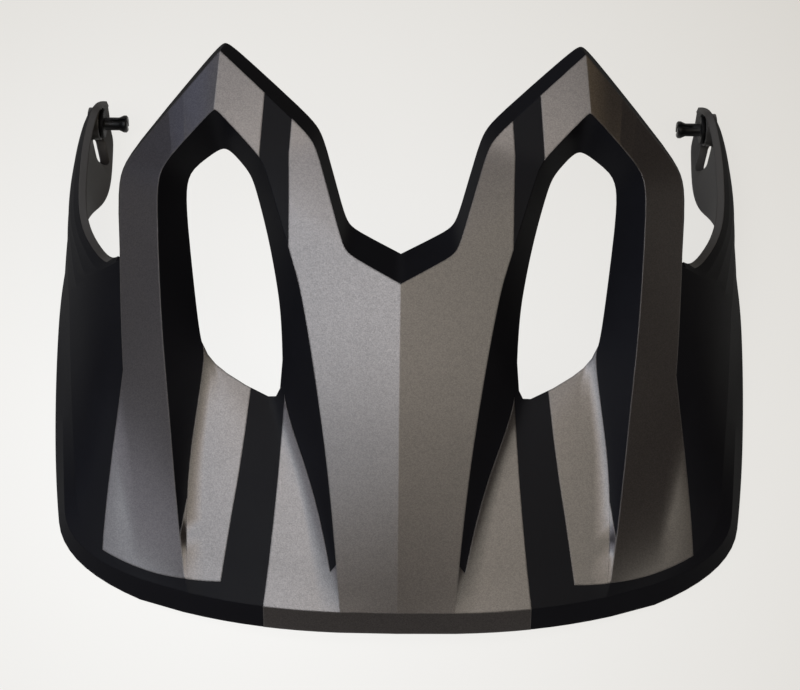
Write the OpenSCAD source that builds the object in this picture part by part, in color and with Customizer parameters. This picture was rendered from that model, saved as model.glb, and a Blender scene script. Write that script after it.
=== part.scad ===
// Clip-on visor of a mountain bike helmet.
// It stands as it lies on a table: on the front corners of its rim and on the tips of its arms.
// X runs across the visor, +Y from the lip back to the wings, +Z up. Sizes are in millimetres.
// Places along Y are given from the drawing's own zero; placed() then puts the middle of the footprint at 0.
// Each half is lofted between guide curves, so one set of sizes shapes the skin and the graphics.

/* [Roof line] */
// Height of the centre crease above the origin
roof_h = 51; // [44:0.5:58]
// Slope of the centre crease at the origin
roof_pitch = 24.5; // [20:0.5:28]
// Radius of the slow bow of the roof, seen from the side
roof_bow_r = 530; // [420:10:900]
// Sideways slope of the centre panel
panel_fall = 8; // [4:0.5:11]

/* [Lip and rim] */
// Distance from the origin forward to the upper crease of the lip
lip_y = 79; // [74:0.5:86]
// Half width of the lip, where its corners start
lip_half_w = 71.5; // [67:0.5:76]
// How far the lip sweeps back between its centre and its corners
lip_sweep = 9.5; // [6:0.5:13]
// Height of the lip's upper crease where the corners start
lip_corner_h = 6; // [4.5:0.25:8]
// Width of the sloped band under the lip's crease
band_w = 4.6; // [3.5:0.1:6]
// Height of that band
band_h = 5; // [4:0.1:6]
// Half width across the side rims
rim_half_w = 99; // [95:0.5:104]

/* [Centre panel and notch] */
// Half width of the centre panel at the lip
spine_half_w = 16; // [13:0.5:19]
// Half width of the centre panel beside the end of the crease
root_half_w = 27.5; // [25:0.5:30]
// Distance from the origin back to the end of the crease
notch_y = 2.2; // [-4:0.2:6]
// Half width of the flat bottom of the notch
notch_half_w = 15.5; // [12:0.5:18]
// How far the corners of the notch lie behind the end of the crease
notch_rise = 8.5; // [6:0.5:11]
// Depth of the turned down shelf at the notch, from front to back
shelf_d = 11.5; // [8:0.5:14]
// Drop of that shelf over its depth
shelf_fall = 5; // [3:0.5:7]
// Half distance between the inner shoulders of the wings
shoulder_x = 24; // [20:0.5:27]
// Distance from the origin back to those shoulders
shoulder_y = 39.5; // [36:0.5:43]

/* [Wings and vents] */
// Half distance between the wing tips
wing_tip_x = 50; // [47:0.5:55]
// Distance from the origin back to the wing tips
wing_tip_y = 61; // [58:0.5:68]
// Half width over the outer corners of the wings
wing_half_w = 79.5; // [76:0.5:83]
// Distance from the origin back to the outer corners of the wings
wing_corner_y = 37; // [32:0.5:41]
// Width of the outer ridge band, seen from above
ridge_w = 12; // [9:0.5:14]
// Width of the wing frame at its tip, from front to back
wing_frame_w = 14.5; // [12:0.5:17]
// Half distance between the inner edges of the two vents, at the end of the crease
vent_in_x = 34; // [32:0.5:36]
// Half distance to the outer edge of each vent, at the same place
vent_out_x = 58; // [56:0.5:60]
// Distance from the origin back to the top of the vents
vent_top_y = 43; // [42:0.5:46]
// Distance from the origin forward to the bottom of the vents
vent_low_y = 24; // [18:0.5:28]
// Drop of the vent's edge below the roof line
vent_fall = 14; // [11:0.5:16]
// Turned down flange of the wing's free edge
flange_w = 4.5; // [3:0.5:6]
// Drop of that flange
flange_fall = 5; // [3:0.5:7]

/* [Arms] */
// Distance from the origin back to the tip of each arm
arm_tip_y = 82; // [81.5:0.5:86]
// Height of the upper edge of the arms near their pivots
arm_h = 22; // [19:0.5:25]
// Half distance between the bulged outer sides of the arms at the pivots
arm_half_w = 99; // [98:0.5:101]
// Wall of the moulded skin
wall = 2.3; // [2.2:0.1:2.5]

/* [Pivots] */
// Distance from the arm's tip forward to the pivot axis
pivot_inset = 8; // [7:0.5:9]
// Height of the pivot axis
pivot_z = 10.5; // [9:0.5:12]
// Diameter of the stud's shank in its bore
shank_d = 4.4; // [3.8:0.1:5]
// Radial running clearance of the shank in its bore
shank_gap = 0.05; // [0.02:0.01:0.1]
// Diameter of the pivot boss on the arm
boss_d = 10; // [9.75:0.25:11]
// How far the boss's inner face lies inside the bulged outer side of the arm
boss_inset = 5.5; // [5.25:0.25:5.75]
// Length of the stud's bore through the boss
bore_len = 2.6; // [2.5:0.1:2.8]
// Diameter of the stud's outer head
head_d = 7; // [6.4:0.1:8]
// Thickness of the stud's outer head
head_t = 0.9; // [0.8:0.1:1.2]
// Radial clearance of the head in its counterbore, and of the washer in its seat
head_gap = 0.3; // [0.2:0.05:0.5]
// Axial play of a stud between its washer and its head
end_play = 0.1; // [0.05:0.05:0.2]
// Outside diameter of the washer that is pressed on the shank
washer_d = 8.6; // [7.5:0.1:8.8]
// Thickness of that washer
washer_t = 1.2; // [0.9:0.1:1.5]
// Diameter of the neck between the washer and the barb
neck_d = 4; // [3.4:0.1:4.2]
// Length of that neck
neck_len = 4.5; // [4:0.25:6]
// Diameter of the barbed tip that snaps into the helmet
barb_d = 5.3; // [4.9:0.1:6]
// Length of the barb
barb_len = 2.6; // [2:0.1:3.6]
// Width of the slot that splits the tip
slot_w = 1; // [0.6:0.1:1.3]
// Length of the relief slot in the arm
window_len = 9; // [7:0.5:9.5]
// Height of that slot
window_h = 4.4; // [3.4:0.2:4.6]
// Tilt of the slot, following the arm
window_tilt = 20; // [10:1:25]

/* [Graphics] */
// Half distance between the middles of the two bare stripes at the lip
stripe_x = 44.7; // [41:0.5:48]
// Thickness of the grey film
film_t = 0.15; // [0.1:0.05:0.3]
// Width of the bare stripe at the lip
stripe_w_lip = 14.4; // [11:0.2:17]
// Width of the bare stripe beside the vent's lower edge
stripe_w_mid = 9.6; // [8:0.2:12]
// Width of the bare stripe on the wing
stripe_w_wing = 8; // [6:0.5:10]

/* [Hidden] */

// Stations along each conic piece of a guide curve, and cells across the floor and the side
steps = 9;
floor_cells = 8;
side_cells = 5;
// Facets of the round pieces
$fn = 64;
// Overlap of cutters past the faces they cut
over = 1;

// Vectors
function unit(v) = v / norm(v);
function mix(a, b, t) = a + (b - a) * t;
function xyz(c) = [c[0], c[1], c[2]];
function mirror_x(p) = [-p[0], p[1], p[2]];
// Offset direction at a crease between two faces, long enough to keep the wall on both
function mitre(m, n) = (m + n) / max(0.35, 1 + m * n);

// Guide curves: a run of conic arcs that touch the legs of a control polygon [x, y, height, weight].
// A weight of 1 gives a slow bend and a larger one a tighter corner; a doubled control is a sharp one.
function conic(a, c, b, w, t) =
    ((1 - t) * (1 - t) * a + 2 * w * t * (1 - t) * c + t * t * b)
    / ((1 - t) * (1 - t) + 2 * w * t * (1 - t) + t * t);
function joint_at(cs, k) =
    k == 0 ? xyz(cs[0]) :
    k == len(cs) - 2 ? xyz(cs[len(cs) - 1]) :
    (xyz(cs[k]) + xyz(cs[k + 1])) / 2;
function guide(cs) = [
    for (k = [0 : len(cs) - 3])
        for (i = [0 : steps - 1])
            conic(joint_at(cs, k), xyz(cs[k + 1]), joint_at(cs, k + 1), cs[k + 1][3], i / steps),
    xyz(cs[len(cs) - 1])
];

// The roof line, seen from the side; heights on the roof are given as a fall below it
function roof_z(y) = roof_h + tan(roof_pitch) * y - y * y / (2 * roof_bow_r);
function on_roof(p) = [p[0], p[1], roof_z(p[1]) - p[2]];
// A guide on the roof whose ends are given points
function roof_guide(cs, a, b) =
    let (g = guide(cs), n = len(g) - 1)
    [a, for (i = [1 : n - 1]) on_roof(g[i]), b];
panel_slope = tan(panel_fall);

// Upper crease of the lip at a distance x from the centre
lip_sweep_power = 2.5;
lip_drop_power = 1.5;
function lip_at(x) =
    let (f = abs(x) / lip_half_w)
    [x, -lip_y + lip_sweep * pow(f, lip_sweep_power),
     mix(roof_z(-lip_y), lip_corner_h, pow(f, lip_drop_power))];
function lip_out(x) =
    let (s = lip_sweep * lip_sweep_power / lip_half_w * pow(abs(x) / lip_half_w, lip_sweep_power - 1))
    unit([s, -1, 0]);
function lip_control(x) =
    let (p = lip_at(x))
    [p[0], p[1], roof_z(p[1]) - p[2], 1];

// Free edge of the skin: up the crease, round the notch and the wing, down the ridge's outer edge
notch_corner_y = notch_y + notch_rise;
gap_front_y = -10;
function crease(f) = [0, mix(-lip_y, notch_y, f), 0, 1];
edge_controls = [
    crease(0), crease(0.35), crease(0.72), crease(1), crease(1),
    [notch_half_w, notch_corner_y, 2, 5],
    [shoulder_x, shoulder_y, 3, 5],
    [wing_tip_x, wing_tip_y, 0, 1.5],
    [wing_tip_x, wing_tip_y, 0, 1.5],
    [wing_half_w, wing_corner_y, 15.5, 5],
    [wing_half_w - 1, gap_front_y, 16.5, 1],
    [wing_half_w - 2.5, -27, 17, 1],
    [wing_half_w - 5.5, -50, 14.5, 1],
    lip_control(lip_half_w)
];
edge = roof_guide(edge_controls, lip_at(0), lip_at(lip_half_w));

// Upper edge of the recess round the vent
function panel_edge(f, g) =
    let (x = mix(spine_half_w, root_half_w, g))
    [x, mix(-lip_y, notch_y, f), x * panel_slope, 1];
recess_shoulder = [shoulder_x + 14.2, shoulder_y - 5, 3.3, 3];
recess_controls = [
    lip_control(spine_half_w), panel_edge(0.35, 0.22), panel_edge(0.72, 0.62), panel_edge(1, 1),
    [mix(root_half_w, recess_shoulder[0], 0.25), mix(notch_y, recess_shoulder[1], 0.25), 4, 1],
    [mix(root_half_w, recess_shoulder[0], 0.6), mix(notch_y, recess_shoulder[1], 0.6), 4, 1],
    recess_shoulder,
    [wing_tip_x + 0.8, wing_tip_y - wing_frame_w - 0.2, 1.2, 2],
    [wing_tip_x + 1.9, wing_tip_y - wing_frame_w - 0.3, 1.2, 2],
    [wing_half_w - ridge_w, wing_corner_y - 5.5, 4, 3],
    [wing_half_w - ridge_w - 1.3, -3, 5.8, 1],
    [wing_half_w - ridge_w - 3.5, -27, 7.2, 1],
    [wing_half_w - ridge_w - 5.5, -50, 7.4, 1],
    lip_control(lip_half_w - ridge_w)
];
recess = roof_guide(recess_controls, lip_at(spine_half_w), lip_at(lip_half_w - ridge_w));

// Foot of the recess wall, which is the vent's own edge round the vent
foot_gap = 0.8;
foot_controls = [
    lip_control(spine_half_w + foot_gap),
    [vent_in_x - 13, -54, 6.2, 1],
    [vent_in_x - 1.4, -vent_low_y + 0.5, vent_fall - 2, 2],
    [vent_in_x - 0.8, -2, vent_fall - 0.5, 1],
    [vent_in_x + 1.4, 11, vent_fall + 0.2, 1],
    [vent_in_x + 4.2, 23, vent_fall + 0.8, 1],
    [vent_in_x + 8, vent_top_y - 7.7, vent_fall + 0.3, 2],
    [(vent_in_x + vent_out_x) / 2 + 2.3, vent_top_y - 1.5, vent_fall - 1.2, 1.2],
    [(vent_in_x + vent_out_x) / 2 + 5.4, vent_top_y - 1.7, vent_fall - 1.2, 1.2],
    [vent_out_x + 3.2, vent_top_y - 8.7, vent_fall - 0.2, 2],
    [vent_out_x - 1.4, -4.5, vent_fall + 0.5, 1.3],
    [vent_out_x - 3.4, -vent_low_y + 12.7, vent_fall - 0.8, 2.5],
    [vent_out_x + 2.7, -50, vent_fall - 3.5, 1],
    lip_control(lip_half_w - ridge_w - foot_gap)
];
foot = roof_guide(foot_controls, lip_at(spine_half_w + foot_gap),
                  lip_at(lip_half_w - ridge_w - foot_gap));

last = len(edge) - 1;
root_i = 3 * steps;
gap_i = 9 * steps;
vent_i = 2 * steps;
vent_j = last - vent_i;

// Outer edge of the turned down shelf and flange, from the notch round the wing to the arm's gap
flange_controls = [
    [0, notch_y + shelf_d, shelf_d * tan(roof_pitch) + shelf_fall, 1],
    [0, notch_y + shelf_d, shelf_d * tan(roof_pitch) + shelf_fall, 1],
    [notch_half_w - 0.5, notch_corner_y + shelf_d - 1.5, shelf_fall + 5, 4],
    [shoulder_x - 1.5, shoulder_y + flange_w + 1.5, flange_fall + 3.5, 4],
    [wing_tip_x - 2.1, wing_tip_y + flange_w + 0.2, flange_fall, 2],
    [wing_tip_x + 0.4, wing_tip_y + flange_w, flange_fall, 2],
    [wing_half_w + 1.2, wing_corner_y + 1.5, 15.5 + flange_fall - 1.5, 4],
    [wing_half_w - 0.5, (wing_corner_y + gap_front_y) / 2, 16, 1]
];
flange = roof_guide(flange_controls, on_roof(flange_controls[0]), edge[gap_i]);

// Lower edge of the vent, from its inner to its outer corner
vent_low_controls = [
    [foot[vent_i][0], foot[vent_i][1], roof_z(foot[vent_i][1]) - foot[vent_i][2], 1],
    [vent_in_x - 0.8, -vent_low_y - 0.5, vent_fall - 1.8, 2.4],
    [vent_out_x - 4.8, -vent_low_y + 10.2, vent_fall - 1, 1.5],
    [foot[vent_j][0], foot[vent_j][1], roof_z(foot[vent_j][1]) - foot[vent_j][2], 1]
];
function vent_low_at(t) =
    let (k = min(1, floor(2 * t)))
    on_roof(conic(joint_at(vent_low_controls, k), xyz(vent_low_controls[k + 1]),
                  joint_at(vent_low_controls, k + 1), vent_low_controls[k + 1][3], 2 * t - k));

// Floor of the channel between the wall feet, from the lip up to the vent's lower edge
floor_power = 2;
function floor_at(i, t) =
    let (a = foot[i], b = foot[last - i], f = pow(i / vent_i, floor_power))
    t == 0 ? a :
    t == 1 ? b :
    i == 0 ? lip_at(mix(a[0], b[0], t)) :
    mix(a, b, t) + f * (vent_low_at(t) - mix(foot[vent_i], foot[vent_j], t));
channel = [for (i = [0 : vent_i]) [for (c = [0 : floor_cells]) floor_at(i, c / floor_cells)]];

// Side: top edge of the side panel and the arm, height above the table in the third place
tip = [arm_half_w - 6.7, arm_tip_y, pivot_z];
gap_point = edge[gap_i];
arm_top_controls = [
    [gap_point[0], gap_point[1], gap_point[2], 1],
    [wing_half_w + 4.5, gap_point[1] + 0.1, arm_h + 13.3, 1.3],
    [arm_half_w - 4.2, 31.5, arm_h + 5, 1.2],
    [arm_half_w - 2.4, 58, arm_h + 1, 1],
    [arm_half_w - 3.8, arm_tip_y - 3.5, arm_h - 4.5, 1.5],
    [tip[0], tip[1], tip[2], 1]
];
arm_top = guide(arm_top_controls);
side_top = concat([for (j = [0 : last - gap_i]) edge[last - j]],
                  [for (j = [1 : len(arm_top) - 1]) arm_top[j]]);
rim_controls = [
    [lip_half_w, lip_at(lip_half_w)[1], lip_corner_h, 1],
    [rim_half_w - 4.5, -lip_y + lip_sweep + 8, 3.8, 1],
    [rim_half_w - 2, -36, 6, 1],
    [rim_half_w + 0.3, -6, 8.5, 1],
    [rim_half_w + 2, 24, 9.5, 1],
    [arm_half_w + 1.8, 47, 9.5, 1],
    [arm_half_w + 0.4, 64, 7.5, 1],
    [arm_half_w - 2, arm_tip_y - 4, 5, 1.5],
    [tip[0], tip[1], tip[2], 1]
];
rim_curve = guide(rim_controls);
rim = [for (j = [0 : len(rim_curve) - 1]) j == 0 ? lip_at(lip_half_w) : rim_curve[j]];
sides = len(rim) - 1;
// Bulge of the side's control line off the chord between its top and its rim
bulge_controls = [[0, 0, 0, 1], [1, 0, 0, 1], [2.5, 0, 0, 1], [4, 0, 0, 1], [5, 0, 0, 1],
                  [4, 0, 0, 1], [3.5, 0, 0, 1], [3, 0, 0, 1], [0, 0, 0, 1]];
bulge = guide(bulge_controls);
// Bottom edge: under the rim's band, then leaning in under the arm
function band_foot(x) = lip_at(x) + band_w * lip_out(x) - [0, 0, band_h];
band_end = band_foot(lip_half_w);
bottom_controls = [
    [band_end[0], band_end[1], band_end[2], 1],
    [rim_half_w - 4.5 + 0.3 * band_w, -lip_y + lip_sweep + 8 - 0.6 * band_w, 0, 1],
    [rim_half_w - 2 + 0.7 * band_w, -38, 0, 1],
    [rim_half_w - 0.5 + 0.7 * band_w, -8, 5, 1],
    [rim_half_w + 3.3, 22, 6, 1],
    [arm_half_w + 0.4, 45.5, 3.2, 1.4],
    [arm_half_w - 5.6, 54, 0, 1.2],
    [arm_half_w - 5, arm_tip_y - 4, 0, 1.8],
    [tip[0], tip[1], tip[2], 1]
];
bottom = guide(bottom_controls);

// Visible faces of the side: conic ribs between the top edge and the rim
function side_at(j, t) =
    j == 0 || j == sides ? rim[j] :
    t == 0 ? side_top[j] :
    t == 1 ? rim[j] :
    let (a = side_top[j], b = rim[j], chord = b - a)
    conic(a, (a + b) / 2 + bulge[j][0] * unit([-chord[2], 0, chord[0]]), b, 1, t);
side = [for (j = [0 : sides]) [for (c = [0 : side_cells]) side_at(j, c / side_cells)]];

// Normals of a strip between two neighbouring lines, on its visible side
function strip_normal(p, q, i) =
    let (a = max(0, i - 1), b = min(len(p) - 1, i + 1))
    unit(cross(q[i] - p[i], p[b] - p[a] + q[b] - q[a]));
function column(grid, c) = [for (row = grid) row[c]];
function grid_normal(grid, i, c) =
    let (n = len(grid) - 1, m = len(grid[0]) - 1)
    unit(cross(grid[i][min(m, c + 1)] - grid[i][max(0, c - 1)],
               grid[min(n, i + 1)][c] - grid[max(0, i - 1)][c]));

// Inward offsets of the lines that the lip and its band share
lip_normal = unit([0, -tan(roof_pitch) - lip_y / roof_bow_r, 1]);
function band_normal(x) = unit(band_h * lip_out(x) + [0, 0, band_w]);
function lip_offset(x) = mitre(band_normal(x), lip_normal);
function band_offset(x) = lip_out(x) * norm([band_w, band_h]) / band_h;
function level_offset(n) =
    let (h = [n[0], n[1], 0])
    h / (h * h);

// Offset directions of the guide curves, each the mitre of the faces that meet there
side_first = column(side, 0);
side_second = column(side, 1);
edge_offset = [
    for (i = [0 : last])
        i == 0 ? lip_offset(0) :
        i == last ? lip_offset(lip_half_w) :
        let (n = strip_normal(edge, recess, i))
        i < root_i ? [0, n[1], n[2]] / (n[1] * n[1] + n[2] * n[2]) :
        i >= gap_i ? mitre(n, strip_normal(side_first, side_second, last - i)) :
        let (line = [for (k = [root_i : gap_i]) edge[k]],
             m = mitre(n, strip_normal(flange, line, i - root_i)))
        i == root_i ? [0, m[1], m[2]] : m
];
recess_offset = [
    for (i = [0 : last])
        i == 0 || i == last ? lip_offset(recess[i][0]) :
        mitre(strip_normal(edge, recess, i), strip_normal(recess, foot, i))
];
function floor_normal(i) =
    let (k = min(i, last - i, vent_i))
    strip_normal(column(channel, 0), column(channel, floor_cells), max(1, k));
foot_offset = [
    for (i = [0 : last])
        i == 0 || i == last ? lip_offset(foot[i][0]) :
        mitre(strip_normal(recess, foot, i), floor_normal(i))
];
flange_offset = [
    for (k = [0 : gap_i - root_i])
        let (line = [for (j = [root_i : gap_i]) edge[j]],
             n = strip_normal(flange, line, min(k, gap_i - root_i - 1)))
        k == 0 ? [0, n[1], n[2]] :
        k == gap_i - root_i ? edge_offset[gap_i] : n
];
channel_offset = [
    for (i = [0 : vent_i])
        [for (c = [0 : floor_cells])
            i == 0 ? lip_offset(channel[0][c][0]) :
            c == 0 ? foot_offset[i] :
            c == floor_cells ? foot_offset[last - i] :
            grid_normal(channel, i, c)]
];
tip_offset = unit([0.3, 1, 0]);
// The top edge of the arm is a level land, one wall wide, on the side of the gap
function arm_top_offset(j) =
    let (t = side_first[j + 1] - side_first[j - 1])
    unit([t[1], -t[0], 0.2 * norm(t)]);
side_offset = [
    for (j = [0 : sides])
        [for (c = [0 : side_cells])
            j == 0 ? lip_offset(lip_half_w) :
            j == sides ? tip_offset :
            c == 0 && j <= last - gap_i ? edge_offset[last - j] :
            c == 0 ? arm_top_offset(j) :
            c < side_cells ? grid_normal(side, j, c) :
            mitre(strip_normal(column(side, c - 1), rim, j), strip_normal(rim, bottom, j))]
];
bottom_offset = [
    for (j = [0 : sides])
        j == 0 ? band_offset(lip_half_w) :
        j == sides ? tip_offset :
        level_offset(strip_normal(rim, bottom, j))
];

// Grids of one half: the ring round the vent, its flange, the channel, the side and the lower band
ring = [for (i = [0 : last]) [edge[i], recess[i], foot[i]]];
ring_offset = [for (i = [0 : last]) [edge_offset[i], recess_offset[i], foot_offset[i]]];
hem = [for (k = [0 : gap_i - root_i]) [flange[k], edge[root_i + k]]];
hem_offset = [for (k = [0 : gap_i - root_i]) [flange_offset[k], edge_offset[root_i + k]]];
lip_xs = concat([0, spine_half_w], [for (p = channel[0]) p[0]], [lip_half_w - ridge_w]);
band = concat([for (x = lip_xs) [lip_at(x), band_foot(x)]],
              [for (j = [0 : sides]) [rim[j], bottom[j]]]);
band_offsets = concat([for (x = lip_xs) [lip_offset(x), band_offset(x)]],
                      [for (j = [0 : sides]) [side_offset[j][side_cells], bottom_offset[j]]]);

// Triangles, wound clockwise from outside; a corner that two of its points share is left out
function whole(t) = norm(t[0] - t[1]) > 1e-6 && norm(t[1] - t[2]) > 1e-6 && norm(t[2] - t[0]) > 1e-6;
function quad(a, b, c, d) = [for (t = [[a, b, c], [a, c, d]]) if (whole(t)) t];
function flip(tris) = [for (t = tris) [t[0], t[2], t[1]]];
function moved(grid, off, d) =
    [for (i = [0 : len(grid) - 1]) [for (c = [0 : len(grid[0]) - 1]) grid[i][c] + d * off[i][c]]];
function faces(grid) = [
    for (i = [0 : len(grid) - 2])
        for (c = [0 : len(grid[0]) - 2])
            each quad(grid[i][c], grid[i + 1][c], grid[i + 1][c + 1], grid[i][c + 1])
];
// A skin between an upper and a lower grid, and the wall along a free edge with the skin on its left
function skin(top, low) = concat(faces(top), flip(faces(low)));
function wall_of(top, low) = [
    for (i = [0 : len(top) - 2]) each quad(top[i], top[i + 1], low[i + 1], low[i])
];
// Whole numbers from a to b, up or down
function steps_to(a, b) = [for (k = [0 : abs(b - a)]) a + (b > a ? k : -k)];
function part_of_row(grid, i, a, b) = [for (c = steps_to(a, b)) grid[i][c]];
function part_of_column(grid, c, a, b) = [for (i = steps_to(a, b)) grid[i][c]];
function row_wall(top, low, i, a, b) = wall_of(part_of_row(top, i, a, b), part_of_row(low, i, a, b));
function column_wall(top, low, c, a, b) = wall_of(part_of_column(top, c, a, b), part_of_column(low, c, a, b));
function mirrored(tris) = [for (t = tris) [mirror_x(t[0]), mirror_x(t[2]), mirror_x(t[1])]];
module solid_of(tris)
    polyhedron(points = [for (t = tris) each t],
               faces = [for (i = [0 : len(tris) - 1]) [3 * i, 3 * i + 1, 3 * i + 2]]);

// The moulded skin of one half: the visible grids, the same grids one wall inward, and the free edges
ring_low = moved(ring, ring_offset, -wall);
hem_low = moved(hem, hem_offset, -wall);
channel_low = moved(channel, channel_offset, -wall);
side_low = moved(side, side_offset, -wall);
band_low = moved(band, band_offsets, -wall);
half_skin = concat(
    skin(ring, ring_low), skin(hem, hem_low), skin(channel, channel_low),
    skin(side, side_low), skin(band, band_low),
    column_wall(hem, hem_low, 0, gap_i - root_i, 0),
    column_wall(side, side_low, 0, sides, last - gap_i),
    column_wall(band, band_low, 1, 0, len(band) - 1),
    column_wall(ring, ring_low, 2, vent_i, vent_j),
    row_wall(channel, channel_low, vent_i, floor_cells, 0)
);

// The grey film of one half lies on the same grids, face to face, and is trimmed to its outline later.
// It leaves the recess walls bare but for their low front ends.
wall_in = round(steps / 6);
wall_out = last - round(steps / 2);
side_end = round(2.2 * steps);
function strip(grid, c, a, b) = [for (i = [a : b]) [grid[i][c], grid[i][c + 1]]];
panel = strip(ring, 0, 0, last);
panel_up = moved(panel, strip(ring_offset, 0, 0, last), film_t);
inner_wall = strip(ring, 1, 0, wall_in);
inner_wall_up = moved(inner_wall, strip(ring_offset, 1, 0, wall_in), film_t);
outer_wall = strip(ring, 1, wall_out, last);
outer_wall_up = moved(outer_wall, strip(ring_offset, 1, wall_out, last), film_t);
channel_up = moved(channel, channel_offset, film_t);
flank = [for (j = [0 : side_end]) side[j]];
flank_up = moved(flank, side_offset, film_t);
lip_band = [for (x = concat(lip_xs, [lip_half_w])) [lip_at(x), band_foot(x)]];
lip_band_up = moved(lip_band, band_offsets, film_t);
half_film = concat(
    skin(panel_up, panel), skin(inner_wall_up, inner_wall), skin(outer_wall_up, outer_wall),
    skin(channel_up, channel), skin(flank_up, flank), skin(lip_band_up, lip_band),
    column_wall(panel_up, panel, 0, last - side_end, root_i),
    column_wall(panel_up, panel, 1, wall_in, wall_out),
    row_wall(inner_wall_up, inner_wall, wall_in, 1, 0),
    row_wall(outer_wall_up, outer_wall, 0, 0, 1),
    column_wall(channel_up, channel, 0, vent_i, wall_in),
    column_wall(channel_up, channel, floor_cells, last - wall_out, vent_i),
    row_wall(channel_up, channel, vent_i, floor_cells, 0),
    row_wall(flank_up, flank, side_end, side_cells, 0),
    column_wall(flank_up, flank, side_cells, 0, side_end),
    column_wall(lip_band_up, lip_band, 1, 0, len(lip_band) - 1),
    row_wall(lip_band_up, lip_band, len(lip_band) - 1, 1, 0)
);

// Outlines of the graphics, seen from above. The bare stripe runs from the lip to the wing.
outline_steps = 10;
function outline(a, c, b) = [for (i = [0 : outline_steps]) conic(a, c, b, 1, i / outline_steps)];
stripe_bow = 10.8;
stripe_wing_inset = 14.9;
stripe_wing_back = 25;
stripe_lean = 3.2;
stripe_margin = 10;
stripe_mid_x = stripe_x - stripe_bow;
stripe_wing_x = wing_tip_x - stripe_wing_inset;
stripe_back = wing_tip_y + stripe_margin;
stripe_bend_w = 2 * stripe_w_mid - (stripe_w_lip + stripe_w_wing) / 2;
// One edge of the stripe; side is -1 towards the centre and 1 outwards
function stripe_edge(side) = outline(
    [stripe_x + side * stripe_w_lip / 2, -lip_y + 2],
    [stripe_mid_x + side * stripe_bend_w / 2, -20],
    [stripe_wing_x + side * stripe_w_wing / 2, wing_tip_y - stripe_wing_back]
);
module centre_outline() {
    line = stripe_edge(-1);
    half = concat([[line[0][0], -lip_y - 2 * band_w]], line,
                  [[stripe_wing_x - stripe_lean - stripe_w_wing / 2, stripe_back]]);
    polygon(concat(half, [for (i = [len(half) - 1 : -1 : 0]) [-half[i][0], half[i][1]]]));
}
wing_front_inset = 8.6;
wing_front_sweep = [12.3, 9.6];
wing_flank_bend = [-0.9, 19];
wing_flank_inset = 1.5;
wing_flank_y = -14;
wing_front_y = -lip_y + wing_front_inset;
wing_front_corner = [lip_half_w, wing_front_y] + wing_front_sweep;
module wing_outline() {
    beyond_x = wing_half_w + 2 * stripe_margin;
    line = stripe_edge(1);
    polygon(concat(
        outline([line[1][0] + 0.3, wing_front_y], [lip_half_w - 2.5, wing_front_y + 0.4], wing_front_corner),
        outline(wing_front_corner, wing_front_corner + wing_flank_bend,
                [wing_half_w - wing_flank_inset, wing_flank_y]),
        [[beyond_x, wing_flank_y + 1], [beyond_x, stripe_back],
         [stripe_wing_x - stripe_lean + stripe_w_wing / 2, stripe_back]],
        [for (i = [outline_steps : -1 : 2]) line[i]]
    ));
}
module trimmed_film() {
    intersection() {
        solid_of(concat(half_film, mirrored(half_film)));
        translate([0, 0, -over]) linear_extrude(2 * roof_h) children();
    }
}
film_grey = [0.5, 0.49, 0.48];
module placed() translate([0, (lip_y + band_w - arm_tip_y) / 2, 0]) children();
module centre_graphic()
    color(film_grey) placed() trimmed_film() centre_outline();
module wing_graphic(side)
    color(film_grey) placed() trimmed_film() scale([side, 1, 1]) wing_outline();

// Pivot axis, from the middle of the visor out to the arm; side is -1 for the left one and 1 for the right
pivot_y = arm_tip_y - pivot_inset;
boss_half_w = arm_half_w - boss_inset;
module on_pivot(side, x = 0)
    translate([0, pivot_y, pivot_z]) rotate([0, side * 90, 0]) translate([0, 0, x]) children();

seat_x = boss_half_w + bore_len;
cutter_len = 10;
boss_rim = 0.8;
module pivot_bosses() {
    for (side = [-1, 1])
        on_pivot(side, boss_half_w) cylinder(h = bore_len + boss_rim, d = boss_d);
}
module pivot_cutters() {
    for (side = [-1, 1]) {
        on_pivot(side, boss_half_w - over) cylinder(h = bore_len + 2 * over, d = shank_d + 2 * shank_gap);
        on_pivot(side, seat_x) cylinder(h = cutter_len, d = head_d + 2 * head_gap);
        on_pivot(side, boss_half_w - cutter_len) cylinder(h = cutter_len, d = washer_d + 2 * head_gap);
    }
}
// Slanted relief slot through the lower band of each arm, in front of the pivot
window_y = pivot_y - 6.1;
window_z = 4.3;
module windows() {
    straight = window_len - window_h;
    for (side = [-1, 1])
        translate([side * boss_half_w, window_y, window_z])
            rotate([window_tilt, 0, 0]) rotate([90, 0, 90])
                linear_extrude(cutter_len, center = true) {
                    for (u = [-straight / 2, straight / 2]) translate([u, 0]) circle(d = window_h);
                    square([straight, window_h], center = true);
                }
}
module peak_shell() {
    color([0.11, 0.11, 0.12]) placed() difference() {
        union() {
            solid_of(concat(half_skin, mirrored(half_skin)));
            pivot_bosses();
        }
        pivot_cutters();
        windows();
    }
}

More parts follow.
